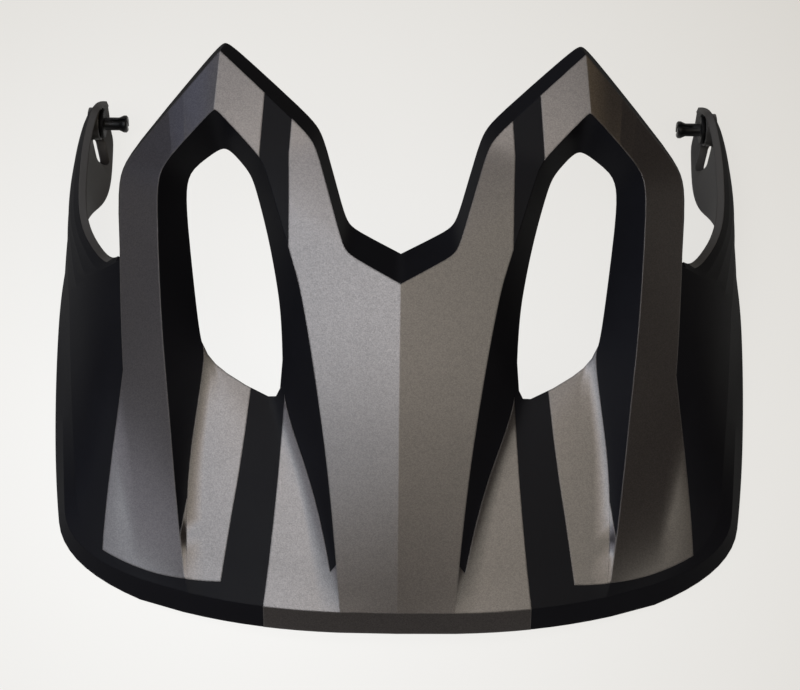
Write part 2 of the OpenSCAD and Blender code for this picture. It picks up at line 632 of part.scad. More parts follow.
// Snap stud: outer head, bearing shank, neck and split barb, placed by distance from the middle of the visor
washer_x = boss_half_w - end_play / 2 - washer_t;
barb_x = washer_x - neck_len;
barb_end = barb_x - barb_len;
barb_lead = 0.15 * barb_len;
barb_land = 0.3 * barb_len;
barb_tip_d = barb_d - 2 * barb_lead;
slot_len = barb_len + 0.5 * neck_len;
module pivot_stud(side) {
    head_x = seat_x + end_play / 2;
    color([0.07, 0.07, 0.08]) placed() difference() {
        union() {
            on_pivot(side, head_x) cylinder(h = head_t, d = head_d);
            on_pivot(side, washer_x) cylinder(h = head_x + head_t / 2 - washer_x, d = shank_d);
            on_pivot(side, barb_x - barb_len / 2)
                cylinder(h = neck_len + barb_len / 2 + washer_t / 2, d = neck_d);
            on_pivot(side, barb_end) cylinder(h = barb_lead, d1 = barb_tip_d, d2 = barb_d);
            on_pivot(side, barb_end + barb_lead) cylinder(h = barb_land, d = barb_d);
            on_pivot(side, barb_end + barb_lead + barb_land)
                cylinder(h = barb_len - barb_lead - barb_land, d1 = barb_d, d2 = neck_d);
        }
        on_pivot(side, barb_end - over)
            translate([-barb_d, -slot_w / 2, 0]) cube([2 * barb_d, slot_w, slot_len + over]);
    }
}
module retaining_washer(side)
    color([0.09, 0.09, 0.1]) placed() difference() {
        on_pivot(side, washer_x) cylinder(h = washer_t, d = washer_d);
        on_pivot(side, washer_x - over) cylinder(h = washer_t + 2 * over, d = shank_d);
    }

peak_shell();
centre_graphic();
wing_graphic(-1);  // left_wing_graphic
wing_graphic(1);  // right_wing_graphic
pivot_stud(-1);  // left_pivot_stud
pivot_stud(1);  // right_pivot_stud
retaining_washer(-1);  // left_retaining_washer
retaining_washer(1);  // right_retaining_washer
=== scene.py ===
"""Visor of a mountain bike helmet, lying on a pale table: its looks, laid over the fixed frame."""

import logging
import math
from dataclasses import dataclass, field
from enum import Enum

import bmesh
import bpy
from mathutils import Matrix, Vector
from mathutils.bvhtree import BVHTree
from mathutils.geometry import closest_point_on_tri
from mathutils.interpolate import poly_3d_calc

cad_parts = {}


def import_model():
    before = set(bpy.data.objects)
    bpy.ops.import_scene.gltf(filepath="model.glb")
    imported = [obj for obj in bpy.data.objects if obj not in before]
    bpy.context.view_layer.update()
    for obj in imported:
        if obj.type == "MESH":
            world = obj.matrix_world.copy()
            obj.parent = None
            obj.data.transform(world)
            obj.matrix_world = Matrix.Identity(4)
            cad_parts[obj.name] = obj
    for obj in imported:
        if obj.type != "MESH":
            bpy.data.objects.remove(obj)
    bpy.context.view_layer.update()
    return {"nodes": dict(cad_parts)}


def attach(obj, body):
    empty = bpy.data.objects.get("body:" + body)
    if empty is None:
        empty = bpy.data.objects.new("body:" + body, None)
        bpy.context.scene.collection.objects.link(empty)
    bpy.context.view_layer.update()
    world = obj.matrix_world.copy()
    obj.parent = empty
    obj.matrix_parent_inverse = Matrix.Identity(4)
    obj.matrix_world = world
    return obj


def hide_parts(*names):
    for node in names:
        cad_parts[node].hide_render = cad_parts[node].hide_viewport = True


MM = 0.001
MM_IN_METRE = 1000
MERGE_MM = 0.002
MIDDLE = (0.3, 0.7)
LOG = logging.getLogger("visor")


class Side(Enum):
    """The two sides of the visor, left and right as the photo shows them."""

    LEFT = "left"
    RIGHT = "right"

    @property
    def sign(self) -> int:
        """-1 for the left side and 1 for the right one."""
        return -1 if self is Side.LEFT else 1


class Coat(Enum):
    """The painted fields of the shell, in the order of its material slots after the bare one."""

    CENTRE = "centre_graphic"
    LEFT_WING = "left_wing_graphic"
    RIGHT_WING = "right_wing_graphic"


def linear(red: int, green: int, blue: int) -> tuple[float, float, float, float]:
    """Turns a colour of 0 to 255 a channel into the linear colour that a shader takes.

    Args:
        red: Red channel.
        green: Green channel.
        blue: Blue channel.

    Returns:
        The linear colour with an alpha of 1.
    """
    channels = []
    for value in (red, green, blue):
        share = value / 255
        channels.append(share / 12.92 if share <= 0.04045 else ((share + 0.055) / 1.055) ** 2.4)
    return (channels[0], channels[1], channels[2], 1.0)


class Shading:
    """A material's node tree, with short calls to add and join its nodes."""

    # A mix node has sockets for each kind of value. These are the ones for colours.
    MIX_SHARE, MIX_DARK, MIX_LIGHT, MIX_RESULT = 0, 6, 7, 2
    EDGE_SAMPLES = 6

    def __init__(self, name: str) -> None:
        """Starts a material with an empty tree.

        Args:
            name: Name of the material.
        """
        self.material = bpy.data.materials.new(name)
        self.material.use_nodes = True
        self.tree = self.material.node_tree
        self.tree.nodes.clear()
        self.output = self.tree.nodes.new("ShaderNodeOutputMaterial")
        self.place = self.tree.nodes.new("ShaderNodeTexCoord").outputs["Object"]

    def node(self, kind: str, **settings: object) -> bpy.types.Node:
        """Adds a node and sets its properties.

        Args:
            kind: Blender's name of the node type.
            settings: Properties of the node by name.

        Returns:
            The new node.
        """
        made = self.tree.nodes.new(kind)
        for name, value in settings.items():
            setattr(made, name, value)
        return made

    def join(self, source: bpy.types.NodeSocket, target: bpy.types.NodeSocket) -> None:
        """Links an output socket to an input socket."""
        self.tree.links.new(source, target)

    def noise(
        self, size_mm: float, detail: float = 2.0, roughness: float = 0.5
    ) -> bpy.types.NodeSocket:
        """Adds noise on Object coordinates.

        Args:
            size_mm: Size of its largest features in millimetres.
            detail: Octaves of finer noise.
            roughness: Strength of the finer octaves.

        Returns:
            The noise's value socket, from 0 to 1.
        """
        made = self.node("ShaderNodeTexNoise")
        made.inputs["Scale"].default_value = MM_IN_METRE / size_mm
        made.inputs["Detail"].default_value = detail
        made.inputs["Roughness"].default_value = roughness
        self.join(self.place, made.inputs["Vector"])
        return made.outputs["Fac"]

    def cells(self, size_mm: float) -> bpy.types.Node:
        """Adds a field of random cells, as metal flakes lie in paint.

        Args:
            size_mm: Size of a cell in millimetres.

        Returns:
            The cell node, with a random colour per cell.
        """
        made = self.node("ShaderNodeTexVoronoi")
        made.inputs["Scale"].default_value = MM_IN_METRE / size_mm
        self.join(self.place, made.inputs["Vector"])
        return made

    def spread(
        self,
        source: bpy.types.NodeSocket,
        low: float,
        high: float,
        start: float = 0.0,
        end: float = 1.0,
    ) -> bpy.types.NodeSocket:
        """Maps a value from one range to another.

        Args:
            source: Value to map.
            low: Result where the value is start.
            high: Result where the value is end.
            start: Lowest value that comes in.
            end: Highest value that comes in.

        Returns:
            The mapped value's socket.
        """
        made = self.node("ShaderNodeMapRange")
        ends = {"From Min": start, "From Max": end, "To Min": low, "To Max": high}
        for name, value in ends.items():
            made.inputs[name].default_value = value
        self.join(source, made.inputs["Value"])
        return made.outputs["Result"]

    def tint(
        self, share: bpy.types.NodeSocket, dark: tuple[float, ...], light: tuple[float, ...]
    ) -> bpy.types.NodeSocket:
        """Mixes two colours by a value.

        Args:
            share: Share of the light colour.
            dark: Colour at 0.
            light: Colour at 1.

        Returns:
            The mixed colour's socket.
        """
        made = self.node("ShaderNodeMix", data_type="RGBA")
        made.inputs[self.MIX_DARK].default_value = dark
        made.inputs[self.MIX_LIGHT].default_value = light
        self.join(share, made.inputs[self.MIX_SHARE])
        return made.outputs[self.MIX_RESULT]

    def bump(
        self,
        height: bpy.types.NodeSocket,
        depth_mm: float,
        strength: float,
        below: bpy.types.NodeSocket | None = None,
    ) -> bpy.types.NodeSocket:
        """Adds a bump from a height.

        Args:
            height: Height, from 0 to 1.
            depth_mm: Depth of the full height in millimetres.
            strength: Strength of the bump.
            below: A coarser bump that this one lies on.

        Returns:
            The bumped normal's socket.
        """
        made = self.node("ShaderNodeBump")
        made.inputs["Distance"].default_value = depth_mm * MM
        made.inputs["Strength"].default_value = strength
        self.join(height, made.inputs["Height"])
        if below is not None:
            self.join(below, made.inputs["Normal"])
        return made.outputs["Normal"]

    def rounded(self, radius_mm: float) -> bpy.types.NodeSocket:
        """Softens the light on sharp edges, as a moulded radius does.

        Args:
            radius_mm: Radius of the edges in millimetres.

        Returns:
            The softened normal's socket.
        """
        made = self.node("ShaderNodeBevel", samples=self.EDGE_SAMPLES)
        made.inputs["Radius"].default_value = radius_mm * MM
        return made.outputs["Normal"]

    def principled(self, **values: object) -> bpy.types.Node:
        """Adds the surface shader and joins it to the output.

        Args:
            values: Values of its sockets, with underscores for the spaces in their names.

        Returns:
            The shader node.
        """
        made = self.node("ShaderNodeBsdfPrincipled")
        for name, value in values.items():
            made.inputs[name.replace("_", " ")].default_value = value
        self.join(made.outputs["BSDF"], self.output.inputs["Surface"])
        return made


@dataclass(frozen=True)
class SatinPlastic:
    """Moulded plastic with a faint grain and a slow change of gloss."""

    name: str
    dark: tuple[int, int, int]
    light: tuple[int, int, int]
    gloss_low: float
    gloss_high: float
    grain_mm: float = 0.45
    grain_depth_mm: float = 0.012
    handling_mm: float = 26.0
    wave_mm: float = 9.0
    wave_depth_mm: float = 0.03
    speckle: float = 0.03
    specular: float = 0.5
    edge_mm: float = 0.5

    def make(self) -> bpy.types.Material:
        """Builds the material.

        Returns:
            The material.
        """
        shading = Shading(self.name)
        handling = shading.noise(self.handling_mm, detail=4, roughness=0.55)
        grain = shading.noise(self.grain_mm, detail=3, roughness=0.6)
        shader = shading.principled(Specular_IOR_Level=self.specular)
        colour = shading.tint(handling, linear(*self.dark), linear(*self.light))
        shading.join(colour, shader.inputs["Base Color"])
        patches = shading.spread(handling, self.gloss_low, self.gloss_high, *MIDDLE)
        speckle = shading.spread(grain, -self.speckle, self.speckle, *MIDDLE)
        total = shading.node("ShaderNodeMath", operation="ADD")
        shading.join(patches, total.inputs[0])
        shading.join(speckle, total.inputs[1])
        shading.join(total.outputs[0], shader.inputs["Roughness"])
        swell = shading.noise(self.wave_mm, detail=2)
        edges = shading.rounded(self.edge_mm)
        wave = shading.bump(swell, self.wave_depth_mm, strength=0.25, below=edges)
        relief = shading.bump(grain, self.grain_depth_mm, strength=0.6, below=wave)
        shading.join(relief, shader.inputs["Normal"])
        return shading.material


@dataclass(frozen=True)
class MetallicPaint:
    """Satin metallic paint: fine flakes that catch the light one by one, under an even lacquer."""

    name: str
    dark: tuple[int, int, int]
    light: tuple[int, int, int]
    metallic: float
    gloss_low: float
    gloss_high: float
    flake_mm: float = 0.24
    flake_share: float = 0.5
    flake_depth_mm: float = 0.006
    cloud_mm: float = 14.0
    cloud_share: tuple[float, float] = (0.23, 0.27)
    wave_mm: float = 7.0
    wave_depth_mm: float = 0.02
    coat: float = 0.12
    coat_roughness: float = 0.3
    edge_mm: float = 0.5

    def make(self) -> bpy.types.Material:
        """Builds the material.

        Returns:
            The material.
        """
        shading = Shading(self.name)
        flakes = shading.cells(self.flake_mm)
        parts = shading.node("ShaderNodeSeparateColor")
        shading.join(flakes.outputs["Color"], parts.inputs["Color"])
        cloud = shading.noise(self.cloud_mm, detail=4, roughness=0.6)
        shade = shading.node("ShaderNodeMath", operation="MULTIPLY_ADD")
        shade.inputs[1].default_value = self.flake_share
        shading.join(parts.outputs["Red"], shade.inputs[0])
        shading.join(shading.spread(cloud, *self.cloud_share, *MIDDLE), shade.inputs[2])
        shader = shading.principled(
            Metallic=self.metallic, Coat_Weight=self.coat, Coat_Roughness=self.coat_roughness
        )
        colour = shading.tint(shade.outputs[0], linear(*self.dark), linear(*self.light))
        shading.join(colour, shader.inputs["Base Color"])
        gloss = shading.spread(parts.outputs["Green"], self.gloss_low, self.gloss_high)
        shading.join(gloss, shader.inputs["Roughness"])
        swell = shading.noise(self.wave_mm, detail=2)
        edges = shading.rounded(self.edge_mm)
        wave = shading.bump(swell, self.wave_depth_mm, strength=0.2, below=edges)
        facets = parts.outputs["Blue"]
        sparkle = shading.bump(facets, self.flake_depth_mm, strength=0.35, below=wave)
        shading.join(sparkle, shader.inputs["Normal"])
        return shading.material


@dataclass(frozen=True)
class TableTop:
    """A matt, off-white table top that stays pale in the picture and keeps a soft shadow, with a
    painted pool of light and a faint painted shade toward the front.
    """

    name: str = "table_top"
    # Lit base colour, a touch darker toward the front: painted shade.
    near: tuple[int, int, int] = (243, 241, 237)
    far: tuple[int, int, int] = (247, 245, 241)
    # Painted pool of light: the glow's colours at its centre and at its reach.
    painted_pool_bright: tuple[int, int, int] = (255, 255, 254)
    painted_pool_dim: tuple[int, int, int] = (200, 195, 186)
    shown_share: float = 0.9
    reach: float = 0.34
    centre: tuple[float, float] = (-0.05, -0.03)
    slope_half: float = 0.15
    grain_mm: float = 0.6
    grain_depth_mm: float = 0.02

    def make(self) -> bpy.types.Material:
        """Builds the material, which glows for the camera and takes a share of the shadow. Its
        glow is a painted pool of light, strongest near the centre and fading further out.

        Returns:
            The material.
        """
        shading = Shading(self.name)
        grain = shading.noise(self.grain_mm, detail=3)
        parts = shading.node("ShaderNodeSeparateXYZ")
        shading.join(shading.place, parts.inputs["Vector"])
        shader = shading.principled(Roughness=0.75, Specular_IOR_Level=0.2)
        slope = shading.spread(parts.outputs["Y"], 0, 1, -self.slope_half, self.slope_half)
        colour = shading.tint(slope, linear(*self.near), linear(*self.far))
        shading.join(colour, shader.inputs["Base Color"])
        relief = shading.bump(grain, self.grain_depth_mm, strength=0.15)
        shading.join(relief, shader.inputs["Normal"])
        # Painted pool of light: the glow fades with distance from the centre.
        away = shading.node("ShaderNodeVectorMath", operation="DISTANCE")
        shading.join(shading.place, away.inputs[0])
        away.inputs[1].default_value = (*self.centre, 0.0)
        painted_pool_falloff = shading.spread(away.outputs["Value"], 0, 1, 0.0, self.reach)
        glow = shading.node("ShaderNodeEmission")
        light = shading.tint(painted_pool_falloff, linear(*self.painted_pool_bright), linear(*self.painted_pool_dim))
        shading.join(light, glow.inputs["Color"])
        seen = shading.node("ShaderNodeLightPath")
        share: bpy.types.NodeSocket = seen.outputs["Is Camera Ray"]
        for word in ("Is Glossy Ray", "Is Transmission Ray"):
            either = shading.node("ShaderNodeMath", operation="MAXIMUM")
            shading.join(share, either.inputs[0])
            shading.join(seen.outputs[word], either.inputs[1])
            share = either.outputs[0]
        blend = shading.node("ShaderNodeMixShader")
        shading.join(shading.spread(share, 0, self.shown_share), blend.inputs["Fac"])
        shading.join(shader.outputs["BSDF"], blend.inputs[1])
        shading.join(glow.outputs["Emission"], blend.inputs[2])
        shading.join(blend.outputs["Shader"], shading.output.inputs["Surface"])
        return shading.material


BARE_PLASTIC = SatinPlastic(
    "satin_black_plastic", (17, 17, 20), (24, 24, 28), 0.34, 0.42, specular=0.05
)
# Raw plastic of the underside and the rim. Its grey, lighter than the black, is painted bounce
# light from the table.
RAW_PLASTIC_WITH_PAINTED_BOUNCE_LIGHT = SatinPlastic(
    "raw_plastic_painted_bounce_light", (54, 52, 51), (66, 64, 62), 0.34, 0.44, specular=0.55
)
STUD_NYLON = SatinPlastic(
    "black_nylon", (9, 9, 10), (15, 15, 16), 0.36, 0.46, grain_mm=0.3, specular=0.2
)
COLLAR_ACETAL = SatinPlastic(
    "black_acetal", (8, 8, 9), (13, 13, 14), 0.5, 0.62, grain_mm=0.25, specular=0.12
)
GREY_PAINT = MetallicPaint("grey_metallic_paint", (77, 75, 75), (108, 104, 103), 0.85, 0.29, 0.37)


class Bench:
    """The modelling steps that several pieces share, done with Blender's operators."""

    GRAZING_START = 0.4
    GRAZING_FADE = 0.25

    @staticmethod
    def clear() -> None:
        """Leaves edit mode and deselects everything."""
        if bpy.context.object and bpy.context.object.mode != "OBJECT":
            bpy.ops.object.mode_set(mode="OBJECT")
        bpy.ops.object.select_all(action="DESELECT")

    @classmethod
    def soften_grazing(cls, piece: bpy.types.Object) -> None:
        """Keeps the facets of a smooth face from showing where the light grazes it."""
        piece.shadow_terminator_geometry_offset = cls.GRAZING_START
        piece.shadow_terminator_shading_offset = cls.GRAZING_FADE

    @classmethod
    def take(cls, piece: bpy.types.Object) -> None:
        """Makes a piece the only one that is selected and active.

        Args:
            piece: Piece to take.
        """
        cls.clear()
        piece.select_set(True)
        bpy.context.view_layer.objects.active = piece

    @classmethod
    def copy_of(cls, node: bpy.types.Object, name: str) -> bpy.types.Object:
        """Copies a frame node into a piece of its own, with its doubles merged.

        Args:
            node: Node to copy.
            name: Name of the new piece.

        Returns:
            The new piece, with no material.
        """
        piece = bpy.data.objects.new(name, node.data.copy())
        piece.data.name = name
        bpy.context.scene.collection.objects.link(piece)
        piece.data.materials.clear()
        cls.take(piece)
        bpy.ops.object.mode_set(mode="EDIT")
        bpy.ops.mesh.select_all(action="SELECT")
        bpy.ops.mesh.remove_doubles(threshold=MERGE_MM * MM)
        bpy.ops.object.mode_set(mode="OBJECT")
        normals = piece.data.attributes.get("custom_normal")
        if normals is not None:
            piece.data.attributes.remove(normals)
        return piece

    @classmethod
    def apply(cls, piece: bpy.types.Object, modifier: bpy.types.Modifier) -> None:
        """Applies a modifier of a piece."""
        cls.take(piece)
        bpy.ops.object.modifier_apply(modifier=modifier.name)

    @classmethod
    def round_edges(
        cls, piece: bpy.types.Object, width_mm: float, segments: int, over_degrees: float
    ) -> None:
        """Rounds every edge that turns by more than an angle.

        Args:
            piece: Piece to work on.
            width_mm: Width of the rounding on each side of an edge, at most. Close edges limit it
                for the whole piece: on the studs about 0.007 mm is left.
            segments: Faces across the rounding.
            over_degrees: Least turn of an edge that is rounded.
        """
        bevel = piece.modifiers.new("rounding", "BEVEL")
        bevel.width = width_mm * MM
        bevel.segments = segments
        bevel.limit_method = "ANGLE"
        bevel.angle_limit = math.radians(over_degrees)
        bevel.use_clamp_overlap = True
        bevel.loop_slide = True
        bevel.miter_outer = "MITER_ARC"
        cls.apply(piece, bevel)

    @classmethod
    def smooth(cls, piece: bpy.types.Object, degrees: float) -> None:
        """Shades a piece smooth, with sharp edges over an angle."""
        cls.take(piece)
        bpy.ops.object.shade_smooth_by_angle(angle=math.radians(degrees))


@dataclass
class Folds:
    """The moulded folds of a skin, told from thin slanting faces that only follow a twist.

    Attributes:
        skin: Mesh of the skin.
        sure_degrees: An edge that turns by more is always a fold.
        least_degrees: Least turn of the skin beside a fold.
        plain_degrees: Least turn of a fold's own edge.
        faint_degrees: An edge that turns by less is never a fold.
        hollow_degrees: A hollow edge that turns by less is filled with a soft radius.
        own_share: Least share of the skin's turn that a fold's own edge has.
        reach_mm: How far the skin is looked at on each side of an edge.
        apart_mm: Folds that run closer together than this are one.
        alike_degrees: Faces that differ by more are left out of the turn beside an edge.
        bend_degrees: How much a fold may bend where it runs on.
        shortest_mm: Shorter edges are passed over.
        parallel: Least cosine between two edges that lie side by side.
        run_share: Part of a stronger fold's length that a weaker one lies beside.
        places: Where along an edge the skin is looked at, as shares of its length.
        steps: How far out the skin is looked at, as shares of the reach.
        own_weight: Weight of an edge's own face beside those that are looked at.
        turns: Turn of each edge in degrees, above zero where it bulges.
        found: The folds so far.
    """

    skin: bmesh.types.BMesh
    sure_degrees: float = 50.0
    least_degrees: float = 9.0
    plain_degrees: float = 10.0
    faint_degrees: float = 2.4
    hollow_degrees: float = 50.0
    own_share: float = 0.55
    reach_mm: float = 1.8
    apart_mm: float = 2.0
    alike_degrees: float = 35.0
    bend_degrees: float = 18.0
    shortest_mm: float = 0.05
    parallel: float = 0.85
    run_share: tuple[float, float] = (0.02, 0.98)
    places: tuple[float, ...] = (0.2, 0.5, 0.8)
    steps: tuple[float, ...] = (0.25, 0.5, 0.75, 1.0)
    own_weight: float = 0.01
    turns: dict[bmesh.types.BMEdge, float] = field(default_factory=dict)
    found: set[bmesh.types.BMEdge] = field(default_factory=set)

    def find(self) -> set[bmesh.types.BMEdge]:
        """Finds the folds.

        Returns:
            The edges that are folds.
        """
        surface = BVHTree.FromBMesh(self.skin)
        self.skin.faces.ensure_lookup_table()
        self.skin.edges.index_update()
        likely: list[tuple[float, bmesh.types.BMEdge]] = []
        for edge in self.skin.edges:
            if len(edge.link_faces) != 2 or edge.calc_length() < self.shortest_mm * MM:
                continue
            own = math.degrees(edge.calc_face_angle_signed(0.0))
            if abs(own) < self.faint_degrees:
                continue
            self.turns[edge] = own
            if abs(own) > self.sure_degrees:
                self.found.add(edge)
                continue
            if abs(own) < self.plain_degrees:
                continue
            turn = self.turn_beside(edge, surface)
            folded = own * turn > 0 and abs(turn) > self.least_degrees
            if folded and abs(own) > self.own_share * abs(turn):
                likely.append((abs(own * turn), edge))
        self.keep_strongest(likely)
        self.run_on()
        self.found = {edge for edge in self.found if not self.hollow(edge)}
        return self.found

    def hollow(self, edge: bmesh.types.BMEdge) -> bool:
        """Tells whether an edge is a slack hollow, which the moulding fills with a soft radius."""
        return -self.hollow_degrees < self.turns[edge] < 0

    def turn_beside(self, edge: bmesh.types.BMEdge, surface: BVHTree) -> float:
        """Measures how much the skin turns across an edge, over a few faces on each side.

        Args:
            edge: Edge to look beside.
            surface: Surface of the skin.

        Returns:
            The turn in degrees, above zero where the skin bulges.
        """
        start, end = (vertex.co for vertex in edge.verts)
        along = (end - start).normalized()
        means, ways = [], []
        alike = math.radians(self.alike_degrees)
        for face in edge.link_faces:
            way = face.normal.cross(along)
            if way.dot(face.calc_center_median() - start) < 0:
                way.negate()
            mean = face.normal * self.own_weight
            for share in self.places:
                for step in self.steps:
                    point = start.lerp(end, share) + way * (step * self.reach_mm * MM)
                    hit = surface.find_nearest(point, self.reach_mm * MM)
                    if hit[1] is not None and hit[1].angle(face.normal) < alike:
                        mean = mean + hit[1]
            means.append(mean.normalized())
            ways.append(way)
        turn = math.degrees(means[0].angle(means[1], 0.0))
        return math.copysign(turn, (means[0] - means[1]).dot(ways[0] - ways[1]))

    def keep_strongest(self, likely: list[tuple[float, bmesh.types.BMEdge]]) -> None:
        """Keeps the strongest of the likely folds that lie side by side.

        Args:
            likely: Strength and edge of each likely fold.
        """
        kept: list[tuple[Vector, Vector, float, float]] = []
        first, last = self.run_share
        for strength, edge in sorted(likely, key=lambda item: -item[0]):
            start, end = (vertex.co for vertex in edge.verts)
            middle = (start + end) / 2
            sign = self.turns[edge]
            beside = False
            for base, run, length, other in kept:
                share = (middle - base).dot(run) / length
                if other * sign > 0 and first < share < last:
                    apart = (middle - base - run * (share * length)).length
                    level = abs(run.dot((end - start).normalized()))
                    if apart < self.apart_mm * MM and level > self.parallel:
                        beside = True
                        break
            if not beside:
                kept.append((start.copy(), (end - start).normalized(), (end - start).length, sign))
                self.found.add(edge)

    def run_on(self) -> None:
        """Lets each fold run on from a loose end, along the straightest edge that still turns."""
        straight = math.cos(math.radians(self.bend_degrees))
        in_order = sorted(self.found, key=lambda edge: edge.index)
        loose = [(edge, vertex) for edge in in_order for vertex in edge.verts]
        while loose:
            edge, vertex = loose.pop()
            if sum(1 for other in vertex.link_edges if other in self.found) != 1:
                continue
            run = (vertex.co - edge.other_vert(vertex).co).normalized()
            best, best_share = None, straight
            for other in vertex.link_edges:
                if other in self.found or self.turns.get(other, 0.0) * self.turns[edge] <= 0:
                    continue
                share = run.dot((other.other_vert(vertex).co - vertex.co).normalized())
                if share > best_share:
                    best, best_share = other, share
            if best is not None:
                self.found.add(best)
                loose.append((best, best.other_vert(vertex)))


@dataclass
class EvenNormals:
    """The normals of a skin, evened out over a few millimetres, but never across a fold.

    Attributes:
        skin: Mesh of the skin.
        folds: Its folds.
        reach_mm: How far from a point faces are counted.
        fade_mm: Distance over which the weight of a face falls off.
        alike_degrees: Faces that lean further than this from those at the point are left out.
        most_faces: Most faces that are looked at from one point.
        lead_weight: Weight of the faces at the point where no other is counted.
    """

    skin: bmesh.types.BMesh
    folds: set[bmesh.types.BMEdge]
    reach_mm: float = 4.0
    fade_mm: float = 2.2
    alike_degrees: float = 65.0
    most_faces: int = 90
    lead_weight: float = 1e-12

    def __post_init__(self) -> None:
        """Works out a normal for each corner of each face."""
        self.surface = BVHTree.FromBMesh(self.skin)
        self.corners: dict[int, list[Vector]] = {}
        self.points: dict[int, list[Vector]] = {}
        for face in self.skin.faces:
            self.corners[face.index] = [face.normal.copy() for _ in face.verts]
            self.points[face.index] = [vertex.co.copy() for vertex in face.verts]
        for vertex in self.skin.verts:
            left = set(vertex.link_faces)
            while left:
                group = self.group_at(vertex, left.pop())
                left -= group
                normal = self.evened(vertex.co, group)
                for face in group:
                    self.corners[face.index][list(face.verts).index(vertex)] = normal

    def group_at(
        self, vertex: bmesh.types.BMVert, first: bmesh.types.BMFace
    ) -> set[bmesh.types.BMFace]:
        """Gathers the faces round a vertex that no fold parts from a first one.

        Args:
            vertex: Vertex of the skin.
            first: A face at the vertex.

        Returns:
            The first face and all that belong with it.
        """
        group, queue = {first}, [first]
        while queue:
            for edge in queue.pop().edges:
                if vertex in edge.verts and edge not in self.folds:
                    fresh = [face for face in edge.link_faces if face not in group]
                    group.update(fresh)
                    queue.extend(fresh)
        return group

    def evened(self, point: Vector, group: set[bmesh.types.BMFace]) -> Vector:
        """Averages the normals of the faces near a point.

        Args:
            point: Point on the skin.
            group: Faces at the point, from which the search starts.

        Returns:
            The average normal.
        """
        queue = sorted(group, key=lambda face: face.index)
        lead = Vector()
        for face in queue:
            lead += face.normal * face.calc_area()
        lead = lead.normalized() if lead.length > 0 else queue[0].normal.copy()
        least = math.cos(math.radians(self.alike_degrees))
        total = lead * self.lead_weight
        seen, place = set(group), 0
        while place < len(queue) and place < self.most_faces:
            face = queue[place]
            place += 1
            gap = (closest_point_on_tri(point, *self.points[face.index]) - point).length / MM
            if gap > self.reach_mm:
                continue
            if face.normal.dot(lead) > least:
                total += face.normal * (face.calc_area() * math.exp(-((gap / self.fade_mm) ** 2)))
            for edge in face.edges:
                if edge not in self.folds:
                    for other in edge.link_faces:
                        if other not in seen:
                            seen.add(other)
                            queue.append(other)
        return total.normalized()

    def at(self, point: Vector) -> Vector:
        """Reads the normal at the point of the skin that is nearest to a point.

        Args:
            point: Point on the skin or close to it.

        Returns:
            The even normal there.
        """
        place, _, index, _ = self.surface.find_nearest(point)
        shares = poly_3d_calc(self.points[index], place)
        mixed = Vector()
        for share, normal in zip(shares, self.corners[index]):
            mixed += normal * share
        return mixed.normalized()


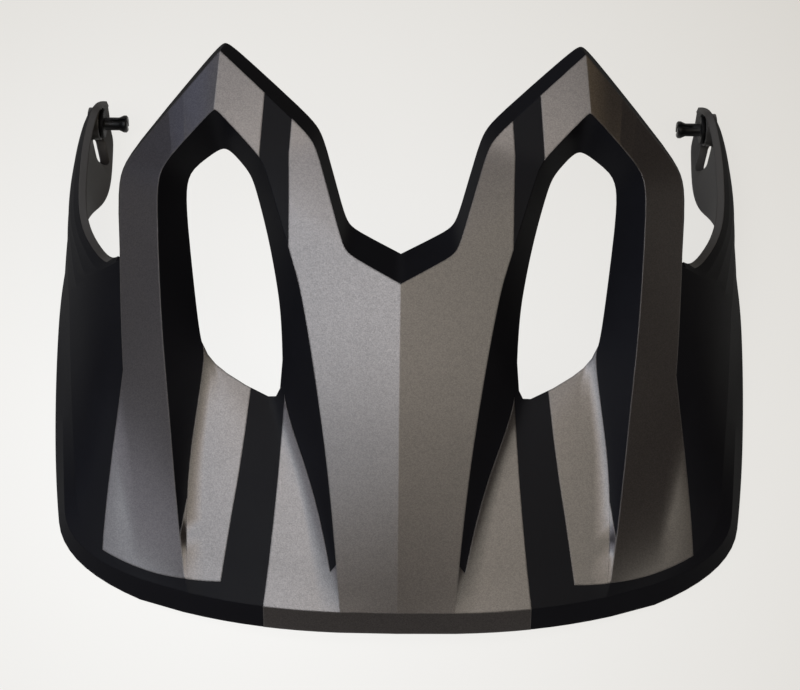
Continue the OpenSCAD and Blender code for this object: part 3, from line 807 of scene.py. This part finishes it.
@dataclass
class PaintedShell:
    """The moulded shell and the painted fields that lie on it.

    Attributes:
        nodes: The frame's nodes by name.
        paint_mm: Thickness of the paint.
        touch_mm: What lies closer than this touches.
        side_step_mm: How far inside its face a corner reads its normal.
        side_share: Largest share of the way to the face's middle that this step takes.
        border_shares: Where along a border the face below it is looked up.
        wall_run_mm: Foot and tip, across and along, of the line where the bare wall runs out.
        wall_lean: How far a channel's wall looks inward.
        rim_from_mm: Where the rim between arm and wing starts, across.
        rim_lean: How far the rim's raw faces, grey with painted bounce light, may look outward.
        arm_from_mm: Where the arm starts, across.
        arm_lean: How far an arm's raw edges, grey with painted bounce light, may look outward, and
            how far they look back.
        inward: How far an arm's inner face looks inward.
        down: How far raw edges, grey with painted bounce light, look down.
        level: How far the underside looks down.
        flat_degrees: Most turn between two triangles that are joined.
        skew_degrees: Most skew of the square that they make.
        paint: Finish of the painted fields.
    """

    nodes: dict[str, bpy.types.Object]
    paint_mm: float = 0.1
    touch_mm: float = 0.01
    side_step_mm: float = 0.03
    side_share: float = 0.3
    border_shares: tuple[float, ...] = (0.1, 0.5, 0.9)
    wall_run_mm: tuple[tuple[float, float], ...] = ((59.4, -47.5), (61.1, -57.5))
    wall_lean: float = 0.4
    rim_from_mm: float = 84.5
    rim_lean: float = 0.45
    arm_from_mm: float = 80.0
    arm_lean: float = 0.5
    inward: float = 0.1
    down: float = 0.25
    level: float = 0.02
    flat_degrees: float = 7.0
    skew_degrees: float = 70.0
    paint: bpy.types.Material = field(default_factory=GREY_PAINT.make)

    def build(self) -> None:
        """Builds the shell and its painted fields."""
        shell, even = self.marked_shell()
        self.settle(shell, even)
        for coat in Coat:
            self.lift(shell, coat)
        self.dress(shell)

    def settle(self, shell: bpy.types.Object, even: EvenNormals) -> None:
        """Gives each corner of each face of the shell the even normal of its own side of a fold.

        Args:
            shell: Shell to shade.
            even: Normals of the skin before it was scored.
        """
        mesh = shell.data
        step = self.side_step_mm * MM
        normals: list[Vector] = [Vector((0, 0, 1))] * len(mesh.loops)
        for face in mesh.polygons:
            face.use_smooth = True
            for loop, vertex in zip(face.loop_indices, face.vertices):
                corner = mesh.vertices[vertex].co
                inward = face.center - corner
                share = min(self.side_share, step / max(inward.length, step))
                normals[loop] = even.at(corner + inward * share)
        kept = mesh.attributes.new("even", "FLOAT_VECTOR", "CORNER")
        for item, normal in zip(kept.data, normals):
            item.vector = normal
        mesh.normals_split_custom_set(normals)

    def marked_shell(self) -> tuple[bpy.types.Object, EvenNormals]:
        """Scores the borders of the painted fields into a copy of the shell's skin.

        Returns:
            The copy, whose faces carry the number of their field or 0 where they are bare, and
            the even normals of the skin.
        """
        shell = Bench.copy_of(self.nodes["peak_shell"], "shell_skin")
        work = bmesh.new()
        work.from_mesh(shell.data)
        work.faces.ensure_lookup_table()
        folds = Folds(work).find()
        even = EvenNormals(work, folds)
        for edge in folds:
            edge.smooth = False
        LOG.info("folds: %d edges", len(folds))
        bare = BVHTree.FromBMesh(work)
        sheets = [self.underside(coat, bare) for coat in Coat]
        self.score_borders(work, bare, sheets)
        self.mark_fields(work, sheets)
        for side in Side:
            self.point_wall(work, side)
        work.to_mesh(shell.data)
        work.free()
        for number in range(1 + len(Coat)):
            shell.data.materials.append(bpy.data.materials.new(f"field_{number}"))
        self.join_triangles(shell)
        return shell, even

    def score_borders(
        self, work: bmesh.types.BMesh, bare: BVHTree, sheets: list[bmesh.types.BMesh]
    ) -> None:
        """Scores the borders of the painted fields into the skin.

        Args:
            work: Mesh of the skin.
            bare: Surface of the skin before it is scored.
            sheets: Underside of each field's film.
        """
        cuts: dict[int, list[tuple[Vector, Vector]]] = {}
        for sheet in sheets:
            for edge in (edge for edge in sheet.edges if edge.is_boundary):
                start, end = (vertex.co.copy() for vertex in edge.verts)
                for share in self.border_shares:
                    runs = cuts.setdefault(bare.find_nearest(start.lerp(end, share))[2], [])
                    if (start, end) not in runs:
                        runs.append((start, end))
        whole = {number: work.faces[number] for number in cuts}
        for number, runs in cuts.items():
            self.score(work, whole[number], runs)

    def mark_fields(self, work: bmesh.types.BMesh, sheets: list[bmesh.types.BMesh]) -> None:
        """Numbers the faces of the skin by the field that covers them, and frees the films.

        Args:
            work: Mesh of the skin, scored along the fields' borders.
            sheets: Underside of each field's film.
        """
        for number, sheet in enumerate(sheets, start=1):
            area = BVHTree.FromBMesh(sheet)
            for face in work.faces:
                if area.find_nearest(face.calc_center_median())[3] < self.touch_mm * MM:
                    face.material_index = number
            sheet.free()

    def join_triangles(self, shell: bpy.types.Object) -> None:
        """Joins pairs of flat triangles into squares, within a field and between folds.

        Args:
            shell: Shell with its fields numbered.
        """
        Bench.take(shell)
        bpy.ops.object.mode_set(mode="EDIT")
        bpy.ops.mesh.select_all(action="SELECT")
        bpy.ops.mesh.tris_convert_to_quads(
            face_threshold=math.radians(self.flat_degrees),
            shape_threshold=math.radians(self.skew_degrees),
            materials=True,
            sharp=True,
        )
        bpy.ops.object.mode_set(mode="OBJECT")

    def point_wall(self, work: bmesh.types.BMesh, side: Side) -> None:
        """Lets the bare wall beside a channel run out in a point along the ridge.

        Args:
            work: Mesh of the skin, with its painted faces marked.
            side: Side of the wall.
        """
        foot, tip = (
            Vector((side.sign * across, along, 0.0)) * MM for across, along in self.wall_run_mm
        )
        out = Vector((tip.y - foot.y, foot.x - tip.x, 0.0)).normalized()
        if out.x * side.sign < 0:
            out.negate()
        painted = [face for face in work.faces if face.material_index]
        own = [face for face in painted if face.calc_center_median().x * side.sign > 0]
        walls = [face for face in own if face.normal.x * side.sign < -self.wall_lean]
        around = dict.fromkeys(part for face in walls for part in (*face.edges, *face.verts))
        cut = bmesh.ops.bisect_plane(work, geom=[*walls, *around], plane_co=foot, plane_no=out)
        for face in (part for part in cut["geom"] if isinstance(part, bmesh.types.BMFace)):
            if (face.calc_center_median() - foot).dot(out) > 0:
                face.material_index = 0

    def underside(self, coat: Coat, bare: BVHTree) -> bmesh.types.BMesh:
        """Picks the side of a painted field's film that lies on the shell.

        Args:
            coat: Field to take.
            bare: Surface of the bare shell.

        Returns:
            A mesh of that side alone.
        """
        sheet = bmesh.new()
        sheet.from_mesh(self.nodes[coat.value].data)
        bmesh.ops.remove_doubles(sheet, verts=sheet.verts, dist=MERGE_MM * MM)
        touch = self.touch_mm * MM
        on_skin = {vertex for vertex in sheet.verts if bare.find_nearest(vertex.co)[3] < touch}
        raised = [face for face in sheet.faces if not on_skin.issuperset(face.verts)]
        bmesh.ops.delete(sheet, geom=raised, context="FACES")
        return sheet

    def score(
        self, work: bmesh.types.BMesh, face: bmesh.types.BMFace, runs: list[tuple[Vector, Vector]]
    ) -> None:
        """Cuts one face of the skin along the straight runs of a border that cross it.

        Args:
            work: Mesh of the skin.
            face: Face to cut.
            runs: Start and end of each run.
        """
        normal = face.normal.copy()
        parts = [face]
        for start, end in runs:
            along = end - start
            if along.length < self.touch_mm * MM:
                continue
            around = dict.fromkeys(item for part in parts for item in (*part.verts, *part.edges))
            result = bmesh.ops.bisect_plane(
                work,
                geom=[*parts, *around],
                dist=self.touch_mm * MM,
                plane_co=start,
                plane_no=along.cross(normal).normalized(),
            )
            parts = [item for item in result["geom"] if isinstance(item, bmesh.types.BMFace)]

    def lift(self, shell: bpy.types.Object, coat: Coat) -> None:
        """Copies one painted field off the shell and gives it the thickness of the paint.

        Args:
            shell: Shell with its normals, whose faces carry the number of their field.
            coat: Field to copy.
        """
        number = list(Coat).index(coat) + 1
        paint = bpy.data.objects.new(coat.value + "_paint", shell.data.copy())
        bpy.context.scene.collection.objects.link(paint)
        Bench.take(paint)
        bpy.ops.object.mode_set(mode="EDIT")
        bpy.ops.mesh.select_mode(type="FACE")
        bpy.ops.object.mode_set(mode="OBJECT")
        for face in paint.data.polygons:
            face.select = face.material_index != number
        bpy.ops.object.mode_set(mode="EDIT")
        bpy.ops.mesh.delete(type="FACE")
        bpy.ops.object.mode_set(mode="OBJECT")
        faces = len(paint.data.polygons)
        thick = paint.modifiers.new("thickness", "SOLIDIFY")
        thick.thickness = self.paint_mm * MM
        thick.offset = 1
        thick.use_rim = True
        Bench.apply(paint, thick)
        self.settle_paint(paint, faces)
        paint.data.materials.clear()
        paint.data.materials.append(self.paint)
        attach(paint, "visor")
        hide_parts(coat.value)
        LOG.info("%s: %d faces", paint.name, len(paint.data.polygons))

    def settle_paint(self, paint: bpy.types.Object, faces: int) -> None:
        """Gives a field of paint the normals of the shell below it.

        Args:
            paint: The field, with its thickness.
            faces: Its faces before it was thickened.
        """
        mesh = paint.data
        kept = [item.vector.copy() for item in mesh.attributes["even"].data]
        for face in mesh.polygons:
            face.use_smooth = True
            for loop in face.loop_indices:
                if face.index >= 2 * faces:
                    kept[loop] = face.normal.copy()
                elif kept[loop].dot(face.normal) < 0:
                    kept[loop].negate()
        mesh.attributes.remove(mesh.attributes["even"])
        mesh.normals_split_custom_set(kept)
        Bench.soften_grazing(paint)

    def inside(self, face: bpy.types.MeshPolygon) -> bool:
        """Tells whether the moulding is left raw at a face. There it takes a lighter grey, which
        is painted bounce light from the table.

        Args:
            face: Face of the shell.

        Returns:
            True where the face looks down or in from an arm, or lies on the rim beside the wing.
        """
        normal = face.normal
        outward = math.copysign(1.0, face.center.x) * normal.x
        across = abs(face.center.x) / MM
        if across > self.rim_from_mm and face.center.y > 0 and outward < self.rim_lean:
            return True
        if across > self.arm_from_mm:
            behind = normal.y > self.arm_lean or normal.z < -self.down
            return outward < -self.inward or (outward < self.arm_lean and behind)
        at_lip = normal.y < -self.arm_lean
        return normal.z < (-self.down if at_lip else -self.level)

    def dress(self, shell: bpy.types.Object) -> None:
        """Gives the shell its black finish and its raw one, whose lighter grey is painted bounce
        light on the faces that look down or in and on the rim, and lets it ride on the visor.

        Args:
            shell: Shell with its normals.
        """
        shell.data.attributes.remove(shell.data.attributes["even"])
        shell.data.materials.clear()
        shell.data.materials.append(BARE_PLASTIC.make())
        shell.data.materials.append(RAW_PLASTIC_WITH_PAINTED_BOUNCE_LIGHT.make())
        for face in shell.data.polygons:
            # Faces that look down or in, and the rim, take the raw grey: painted bounce light from
            # the table.
            face.material_index = int(self.inside(face))
        Bench.soften_grazing(shell)
        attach(shell, "visor")
        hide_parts("peak_shell")
        LOG.info("%s: %d faces", shell.name, len(shell.data.polygons))


@dataclass
class PivotStud:
    """A split snap stud and the collar pressed onto its root."""

    side: Side
    nodes: dict[str, bpy.types.Object]
    stud_edge_mm: float = 0.16
    collar_edge_mm: float = 0.22
    rounding_faces: int = 2
    rounded_over_degrees: float = 30.0
    sharp_over_degrees: float = 35.0

    def build(self) -> None:
        """Builds the stud and its collar."""
        stud = f"{self.side.value}_pivot_stud"
        collar = f"{self.side.value}_retaining_washer"
        self.dress(stud, "stud", self.stud_edge_mm, STUD_NYLON, "black_stud")
        self.dress(collar, "collar", self.collar_edge_mm, COLLAR_ACETAL, "black_washer")

    def dress(self, node: str, word: str, edge_mm: float, finish: SatinPlastic, slot: str) -> None:
        """Copies a node, rounds its edges and gives it its finish.

        Args:
            node: Node that the piece stands for.
            word: Last word of the piece's name.
            edge_mm: Width of its rounded edges.
            finish: Finish of the piece.
            slot: Not used.
        """
        piece = Bench.copy_of(self.nodes[node], f"{self.side.value}_{word}")
        Bench.round_edges(piece, edge_mm, self.rounding_faces, self.rounded_over_degrees)
        Bench.smooth(piece, self.sharp_over_degrees)
        piece.data.materials.append(finish.make())
        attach(piece, f"{self.side.value}_stud")
        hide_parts(node)
        LOG.info("%s: %d faces", piece.name, len(piece.data.polygons))


@dataclass(frozen=True)
class SoftLamp:
    """A round soft lamp that faces the visor, placed by its direction."""

    name: str
    azimuth: float
    elevation: float
    power: float
    colour: tuple[float, float, float]
    size: float = 0.6
    distance: float = 1.1
    aim_height: float = 0.02

    def hang(self) -> None:
        """Hangs the lamp in its direction, turned to the visor."""
        turn, rise = math.radians(self.azimuth), math.radians(self.elevation)
        level = math.cos(rise)
        away = Vector((math.sin(turn) * level, math.cos(turn) * level, math.sin(rise)))
        data = bpy.data.lights.new(self.name, "AREA")
        data.shape = "DISK"
        data.size = self.size
        data.energy = self.power
        data.color = self.colour
        lamp = bpy.data.objects.new(self.name, data)
        lamp.location = away * self.distance + Vector((0, 0, self.aim_height))
        lamp.rotation_euler = (-away).to_track_quat("-Z", "Y").to_euler()
        bpy.context.scene.collection.objects.link(lamp)


LAMPS = (
    SoftLamp("over", 212, 68, 2.05, (0.98, 0.97, 1.0)),
    SoftLamp("front_left", 225, 55, 2.6, (0.8, 0.9, 1.0)),
    SoftLamp("front", 180, 60, 1.6, (1.0, 0.9, 0.74)),
    SoftLamp("front_right", 135, 55, 1.15, (1.0, 0.98, 0.86)),
    SoftLamp("right", 90, 55, 0.4, (1.0, 0.7, 0.3)),
    SoftLamp("back_left", 318, 56, 2.7, (0.95, 0.98, 1.0)),
    SoftLamp("back", 0, 28, 0.6, (0.92, 0.94, 1.0)),
    SoftLamp("low_front_left", 246, 30, 1.4, (0.85, 0.88, 1.0)),
    SoftLamp("low_left", 275, 27, 0.95, (0.56, 0.66, 1.0)),
)


@dataclass
class Studio:
    """The table, the soft lights and the camera."""

    elevation: float = 68.0
    distance: float = 0.5
    lens: float = 78.75
    sensor: float = 36.0
    clip_start: float = 0.01
    aim: Vector = field(default_factory=lambda: Vector((0.0, -0.00405, 0.025)))
    roll: float = 0.6
    table_half: float = 1.6
    room_colour: tuple[float, float, float, float] = (1.0, 0.8, 0.7, 1.0)
    room_strength: float = 0.08

    def build(self) -> None:
        """Sets the table, lights and camera."""
        self.table()
        self.world()
        for lamp in LAMPS:
            lamp.hang()
        self.camera()

    def table(self) -> None:
        """Lays the table top."""
        Bench.clear()
        bpy.ops.mesh.primitive_plane_add(size=2 * self.table_half, location=(0, 0, 0))
        top = bpy.context.object
        top.name = "table"
        top.data.materials.append(TableTop().make())

    def world(self) -> None:
        """Fills the room with even light."""
        room = bpy.data.worlds.new("room")
        room.use_nodes = True
        background = room.node_tree.nodes["Background"]
        background.inputs["Color"].default_value = self.room_colour
        background.inputs["Strength"].default_value = self.room_strength
        bpy.context.scene.world = room

    def camera(self) -> None:
        """Sets the camera at the photo's angle."""
        tilt = math.radians(self.elevation)
        data = bpy.data.cameras.new("camera")
        data.lens = self.lens
        data.sensor_width = self.sensor
        data.clip_start = self.clip_start
        camera = bpy.data.objects.new("camera", data)
        away = Vector((0, -math.cos(tilt), math.sin(tilt)))
        camera.location = self.aim + self.distance * away
        camera.rotation_euler = (-away).to_track_quat("-Z", "Y").to_euler()
        camera.rotation_euler.rotate_axis("Z", math.radians(self.roll))
        bpy.context.scene.collection.objects.link(camera)
        bpy.context.scene.camera = camera


def main() -> None:
    """Builds the visor, its studs and the studio, and reports each piece."""
    logging.basicConfig(level=logging.INFO, format="%(name)s %(message)s")
    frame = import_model()
    bpy.context.scene.view_settings.view_transform = "Standard"
    PaintedShell(frame["nodes"]).build()
    for side in Side:
        PivotStud(side, frame["nodes"]).build()
    Studio().build()


if __name__ == "__main__":
    main()
